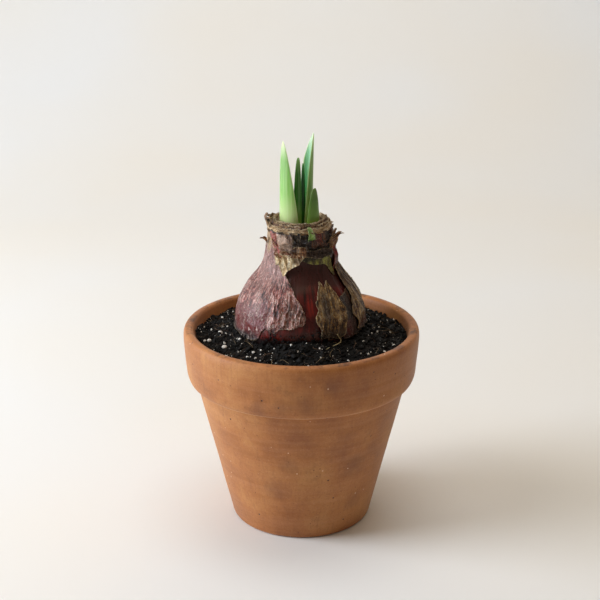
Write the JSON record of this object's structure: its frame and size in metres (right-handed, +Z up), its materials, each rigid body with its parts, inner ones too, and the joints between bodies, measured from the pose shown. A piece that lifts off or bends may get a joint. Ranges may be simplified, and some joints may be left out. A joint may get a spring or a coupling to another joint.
{
  "type": "potted amaryllis bulb",
  "caption": "Amaryllis bulb with papery brown and mauve skins and young green leaves, planted to its shoulders in dark potting soil in a plain terracotta pot.",
  "frame": {"origin": "on the pot's axis, in the plane that the pot's foot stands on", "axes": "+Z up along the pot's axis, -Y towards the front, where the torn skins and the golden flake show, +X to the right as seen from the front"},
  "size_m": [0.15, 0.15, 0.2528],
  "materials": {
    "terracotta": "unglazed fired clay, matt, mottled",
    "soil": "damp dark peat potting mix, crumbly",
    "perlite": "white foamed grains, matt",
    "root": "pale living root, satin",
    "bulb_flesh": "moist dark red scale, satin to glossy",
    "mauve_skin": "dry papery tunic, mauve brown with a silvery sheen",
    "brown_skin": "dry papery tunic, dark brown",
    "gold_skin": "dry fibrous flake, golden tan",
    "cream_skin": "dry papery sheath end, cream to tan",
    "olive_scale": "living scale showing through, olive green",
    "leaf_pale": "young leaf, pale green, satin",
    "leaf_dark": "young leaf, deep green, satin"
  },
  "bodies": {
    "root": {"terracotta_pot": "terracotta", "potting_soil": "soil", "bulb": "bulb_flesh", "root_1": "root", "root_2": "root", "root_3": "root", "root_4": "root", "root_5": "root", "root_6": "root", "surface_root": "root", "tunic_left": "mauve_skin", "tunic_right": "brown_skin", "tunic_middle": "brown_skin", "tunic_gold": "gold_skin", "neck_skin_left": "brown_skin", "neck_skin_right": "brown_skin", "neck_skin_back": "brown_skin", "neck_fold": "brown_skin", "neck_flap": "cream_skin", "olive_scale": "olive_scale", "red_flake_right": "bulb_flesh", "curl_right": "brown_skin", "curl_left": "brown_skin", "green_tip_front": "leaf_pale", "neck_sheath_1": "cream_skin", "neck_sheath_2": "cream_skin", "neck_sheath_3": "cream_skin", "neck_sheath_4": "cream_skin", "leaf_left": "leaf_pale", "leaf_centre": "leaf_dark", "leaf_inner": "leaf_dark", "leaf_right": "leaf_pale", "leaf_short": "leaf_dark", "perlite_1": "perlite", "perlite_2": "perlite", "perlite_3": "perlite", "perlite_4": "perlite", "perlite_5": "perlite", "perlite_6": "perlite", "perlite_7": "perlite", "perlite_8": "perlite", "perlite_9": "perlite", "perlite_10": "perlite", "perlite_11": "perlite", "perlite_12": "perlite"}
  },
  "joints": []
}
